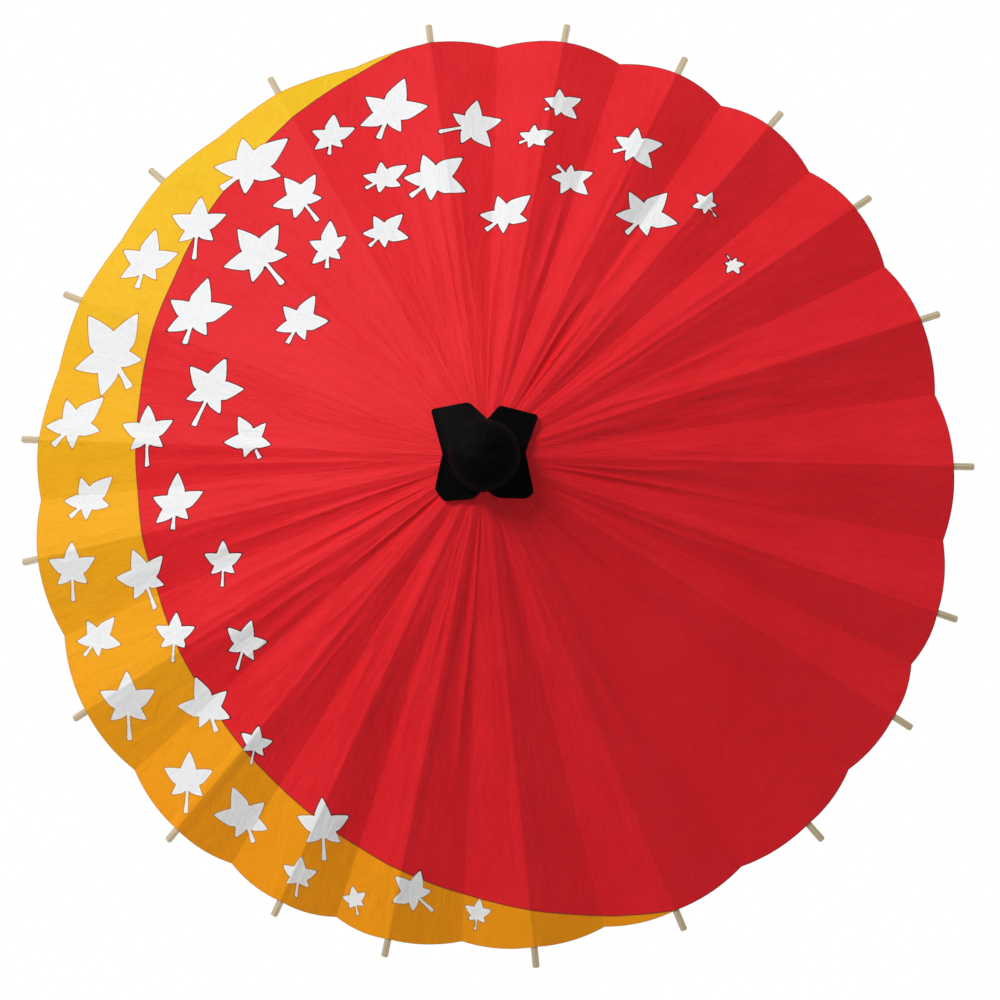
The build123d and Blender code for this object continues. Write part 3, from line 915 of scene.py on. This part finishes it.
def makeDome(finish):
    def place(u, v):
        height, radius = domeHeightAndRadius(v)
        angle = u * math.tau
        gather = np.cos(angle * capBlack["gathers"] + 1.5 * softNoise(u * 9, v * 0, 21, 9))
        gather = (gather - 1) * (1 - smoothRise(v, *capBlack["gatherFade"]))
        gather = gather * (0.7 + 0.3 * smoothRise(v, 0.0, 0.1))
        lump = softNoise(u * 7, v * 3.2, 11, 7) * smoothRise(v, 0.25, 0.5) * (1 - smoothRise(v, 0.9, 1.0))
        fine = softNoise(u * 22, v * 6, 12, 22) * smoothRise(v, 0.2, 0.4) * (1 - smoothRise(v, 0.85, 1.0))
        bent = radius + capBlack["gatherDepth"] * gather * 0.5 + capBlack["lump"] * (lump - 0.6)
        bent = np.where(v > 0.9999, 0, bent + capBlack["fineLump"] * fine * (radius > 2 * mm))
        high = neckBottom + height + 0.5 * capBlack["lump"] * (lump - 1) * smoothRise(v, 0.5, 0.8)
        return np.column_stack((bent * np.cos(angle), bent * np.sin(angle), high))

    dome = gridPiece("cap_top", *capBlack["domeGrid"], place, finish, weld=sameLength)
    thicken(dome, capBlack["wall"])
    # heights and radii along the dome's outline, from the tie to the crown
    heights, radii = domeHeightAndRadius(np.linspace(0, 1, 401))
    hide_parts("cap_dome")
    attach(dome, "root")


def roundedEdge(corners):
    # points along an outline whose corners are rounded by sliding averages
    corners = np.array(corners, float) * mm
    lengths = np.linalg.norm(np.diff(corners, axis=0), axis=1)
    stations = np.concatenate(([0], np.cumsum(lengths)))
    along = np.linspace(0, stations[-1], 241)
    window = capBlack["cornerRound"]
    offsets = np.linspace(-1, 1, 9)
    reach = np.minimum(window, np.minimum(along, stations[-1] - along))
    spread = along[:, None] + offsets[None] * reach[:, None]
    return np.column_stack([np.interp(spread, stations, corners[:, axis]).mean(1) for axis in (0, 1)])


def makeFlap(number, corners, finish):
    edge = roundedEdge(corners)
    angles = np.unwrap(np.arctan2(edge[:, 1], edge[:, 0]))
    reaches = np.hypot(edge[:, 0], edge[:, 1])
    middle = (angles[0] + angles[-1]) / 2

    def place(u, v):
        station = u * (len(edge) - 1)
        angle = np.interp(station, np.arange(len(edge)), angles)
        reach = np.interp(station, np.arange(len(edge)), reaches)
        neck = capBlack["neckRadius"] - capBlack["flapTuck"]
        radius = neck + (reach - neck) * v
        corner = np.abs((angle - middle) / (angles[-1] - angles[0])) * 2
        wave = softNoise(u * 3.2 + number * 7, v * 1.5, 31) * capBlack["flapWave"] * v
        curl = capBlack["flapCurl"] * v ** 2 * (0.35 + 0.65 * corner)
        rise = capBlack["flapLift"] + wave + curl
        return np.column_stack((radius * np.cos(angle), radius * np.sin(angle), paperTop(radius) + rise))

    flap = gridPiece(f"cap_skirt_{number}", *capBlack["flapGrid"], lambda u, v: place(1 - u, v), finish)
    thicken(flap, capBlack["wall"])
    bevel = flap.modifiers.new("edge", "BEVEL")
    bevel.width = capBlack["flapBevel"]
    bevel.segments = 2
    bevel.limit_method = "ANGLE"
    rib = min(ribs, key=lambda item: abs((item["azimuth"] - middle + math.pi) % math.tau - math.pi))
    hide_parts(f"cap_flap_{number:02d}")
    outward = Vector((math.cos(rib["azimuth"]), math.sin(rib["azimuth"]), 0))
    near, far = [outward * (capBlack["neckRadius"] + out) for out in (0, capBlack["flapTurn"])]
    near.z, far.z = paperTop(near.length), paperTop(far.length)
    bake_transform(flap)


def cordFinish():
    recipe = Recipe("capCord")
    fuzz = recipe.noise(recipe.place(), 1800, 3, 0.6)
    colour = recipe.paint(fuzz.over(0.55, 0.2) * 0.6, capBlack["colour"], capBlack["worn"])
    return recipe.done(recipe.principled({
        "Base Color": colour, "Roughness": 0.62 + (fuzz - 0.5) * 0.2,
        "Normal": recipe.bump(fuzz, 0.2 * mm, 0.6), "Specular IOR Level": 0.2,
    }))


def makeCord(finish):
    low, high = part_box("cap_cord")
    middle, reach = (low.z + high.z) / 2, high.x - capBlack["cordRadius"]

    def place(u, v):
        ring, turn = u * math.tau, v * math.tau
        twisted = 1 + capBlack["strandDepth"] * np.cos(2 * turn - ring * capBlack["cordTwists"])
        thick = capBlack["cordRadius"] * capBlack["strandCore"] * twisted
        radius, height = reach + thick * np.cos(turn), middle + thick * np.sin(turn)
        return np.column_stack((radius * np.cos(ring), radius * np.sin(ring), height))

    cord = gridPiece("cap_tie", *capBlack["cordGrid"], place, finish, weld=0.005 * mm)
    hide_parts("cap_cord")
    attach(cord, "root")


def makeCap():
    cloth = capFinish()
    makeDome(cloth)
    for number, corners in enumerate(capFlaps, start=1):
        makeFlap(number, corners, cloth)
    makeCord(cordFinish())
    print("cap: dome, four flaps and cord")


makeCap()


# bamboo, wood, lacquer and thread

bamboo = {
    "skin": (0.66, 0.56, 0.39, 1),
    "flesh": (0.52, 0.40, 0.24, 1),
    "streak": (0.30, 0.18, 0.08, 1),
    "knotEvery": 0.29,
    "knotWidth": 1.6 * mm,
}
# pale and dark colour, scale of the grain, roughness, coat, and the nodes that are made of it
woods = {
    "shaftWood": ((0.085, 0.030, 0.014, 1), (0.030, 0.011, 0.006, 1), 260, 0.32, 0.5, ("shaft",)),
    "hubWood": ((0.56, 0.39, 0.21, 1), (0.38, 0.23, 0.11, 1), 300, 0.5, 0.0, ("upper_hub", "runner")),
    "pegBamboo": ((0.55, 0.40, 0.20, 1), (0.34, 0.21, 0.09, 1), 700, 0.45, 0.0,
                  ("hub_peg", "stop_pin", "latch")),
    "blackLacquer": ((0.014, 0.011, 0.011, 1), (0.007, 0.006, 0.006, 1), 90, 0.25, 0.8,
                     ("grip_collar", "butt_cap")),
}
thread = {
    "dark": (0.42, 0.36, 0.26, 1),
    "pale": (0.68, 0.62, 0.48, 1),
    "strandsRound": 160.0,
    "strandsUp": 5000.0,
}


def bambooFinish(name, azimuth, tone, skin):
    # fibres run along the piece, which points out at this azimuth and falls with the ribs
    recipe = Recipe(name)
    lengthwise = recipe.node("Mapping", {"vector_type": "TEXTURE"},
                             {"Vector": recipe.place(), "Rotation": (0, ribSlope, azimuth)})
    stretched = recipe.node("Mapping", sockets={"Vector": lengthwise, "Location": (tone, tone * 2, 0),
                                                "Scale": (0.02, 1, 1)})
    fibres = recipe.noise(stretched, 1500, 4, 0.6)
    coarse = recipe.noise(stretched, 380, 3, 0.55)
    cloud = recipe.noise(lengthwise, 9 + tone, 3, 0.5)
    along = recipe.axes(lengthwise)[0]
    ring = recipe.node("Math", {"operation": "PINGPONG"}, {0: along + 0.11 * tone, 1: bamboo["knotEvery"]})
    knot = 1 - ring.over(bamboo["knotWidth"], bamboo["knotWidth"])
    colour = recipe.paint(coarse.over(0.5, 0.3) * 0.6 + cloud * 0.3, skin, bamboo["flesh"])
    colour = recipe.paint(fibres.over(0.58, 0.16) * 0.5, colour, bamboo["streak"])
    colour = recipe.paint(knot * 0.65, colour, bamboo["streak"])
    normal = recipe.bump(fibres + coarse * 0.6 + knot * 0.8, 0.25 * mm, 0.5)
    return recipe.done(recipe.principled({
        "Base Color": colour, "Roughness": 0.46 + (coarse - 0.5) * 0.25, "Normal": normal,
        "Specular IOR Level": 0.35,
    }))


def woodFinish(name, pale, dark, ringScale, roughness, coat):
    # grain along the shaft's axis, with fine pores
    recipe = Recipe(name)
    place = recipe.place()
    stretched = recipe.node("Mapping", sockets={"Vector": place, "Scale": (1, 1, 0.05)})
    grain = recipe.noise(stretched, ringScale, 4, 0.6, 1.5)
    pores = recipe.noise(stretched, ringScale * 6, 3, 0.6)
    wear = recipe.noise(place, 35, 4, 0.6)
    colour = recipe.paint(grain.over(0.5, 0.3), pale, dark)
    colour = recipe.paint(pores.over(0.6, 0.12) * 0.5, colour, dark)
    normal = recipe.bump(grain + pores * 0.6, 0.2 * mm, 0.45)
    return recipe.done(recipe.principled({
        "Base Color": colour, "Roughness": roughness + (wear - 0.5) * 0.25, "Normal": normal,
        "Coat Weight": coat, "Coat Roughness": 0.18,
    }))


def threadFinish():
    recipe = Recipe("waxedThread")
    place = recipe.place()
    x, y, z = recipe.axes(place)
    strands = y.turnFrom(x) * thread["strandsRound"] + z * thread["strandsUp"]
    lay = recipe.node("Math", {"operation": "SINE"}, {0: strands})
    fuzz = recipe.noise(place, 2500, 3)
    colour = recipe.paint(lay.over(0.0, 1.4) * 0.6, thread["dark"], thread["pale"])
    return recipe.done(recipe.principled({
        "Base Color": colour, "Roughness": 0.6 + (fuzz - 0.5) * 0.3,
        "Normal": recipe.bump(lay + fuzz * 0.5, 0.15 * mm, 0.5),
    }))


def dressNode(node, material):
    for slot in frame["nodes"][node].material_slots:
        slot.material = material


def dressFrame():
    for number, rib in enumerate(ribs, start=1):
        tone = (number * 7 % 10) / 10
        ribFinish = bambooFinish(f"ribBamboo_{number:02d}", rib["azimuth"], tone, bamboo["skin"])
        dressNode(f"rib_{number:02d}", ribFinish)
        stretcherFinish = bambooFinish(f"stretcherBamboo_{number:02d}", rib["azimuth"] + math.pi, 1 - tone,
                                       bamboo["flesh"])
        dressNode(f"stretcher_{number:02d}", stretcherFinish)
    for name, (*look, nodes) in woods.items():
        wood = woodFinish(name, *look)
        for node in nodes:
            dressNode(node, wood)
    waxed = threadFinish()
    for node in ("upper_thread", "runner_thread"):
        dressNode(node, waxed)
    print("frame dressed")


dressFrame()


# grip: one long strip of split rattan wound round the shaft

grip = {
    "pitch": 3.0 * mm,
    "gap": 0.12 * mm,
    "stepsPerTurn": 30,
    "inner": 8.15 * mm,
    # section of the strip: share of the way out, and of half its width
    "section": ((0, -1), (0.62, -1), (0.90, -0.72), (1, 0), (0.90, 0.72), (0.62, 1), (0, 1)),
    "pale": (0.60, 0.38, 0.16, 1),
    "dark": (0.34, 0.17, 0.06, 1),
}


def rattanFinish():
    recipe = Recipe("rattanSkin")
    place = recipe.place()
    x, y, z = recipe.axes(place)
    along = recipe.joined(y.turnFrom(x) * 0.01, z, 0.0)
    streak = recipe.noise(along, 1700, 4, 0.6)
    cloud = recipe.noise(place, 45, 3, 0.55)
    worn = recipe.noise(place, 17, 3, 0.6)
    colour = recipe.paint(streak.over(0.52, 0.25) * 0.6 + cloud * 0.3, grip["pale"], grip["dark"])
    return recipe.done(recipe.principled({
        "Base Color": colour, "Roughness": 0.36 + (worn - 0.5) * 0.3,
        "Normal": recipe.bump(streak + cloud * 0.5, 0.15 * mm, 0.4),
        "Coat Weight": 0.25, "Coat Roughness": 0.25,
    }))


def makeGrip():
    low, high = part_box("grip_wrap")
    inner, outer, pitch = grip["inner"], high.x, grip["pitch"]
    half = (pitch - grip["gap"]) / 2
    turns = math.floor((high.z - low.z) / pitch) - 1
    first = (low.z + high.z - turns * pitch) / 2
    form = bmesh.new()
    ring = [form.verts.new((inner + (outer - inner) * out, 0, first + half * up))
            for out, up in grip["section"]]
    strip = form.faces.new(ring)
    steps = turns * grip["stepsPerTurn"]
    bmesh.ops.spin(form, geom=[strip, *strip.edges, *ring], axis=(0, 0, 1), cent=(0, 0, 0),
                   dvec=(0, 0, pitch / grip["stepsPerTurn"]), angle=turns * math.tau, steps=steps)
    wound = newObject("grip_winding", form, rattanFinish(), angle=50)
    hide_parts("grip_wrap")
    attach(wound, "root")
    print("grip wound,", turns, "turns")


makeGrip()
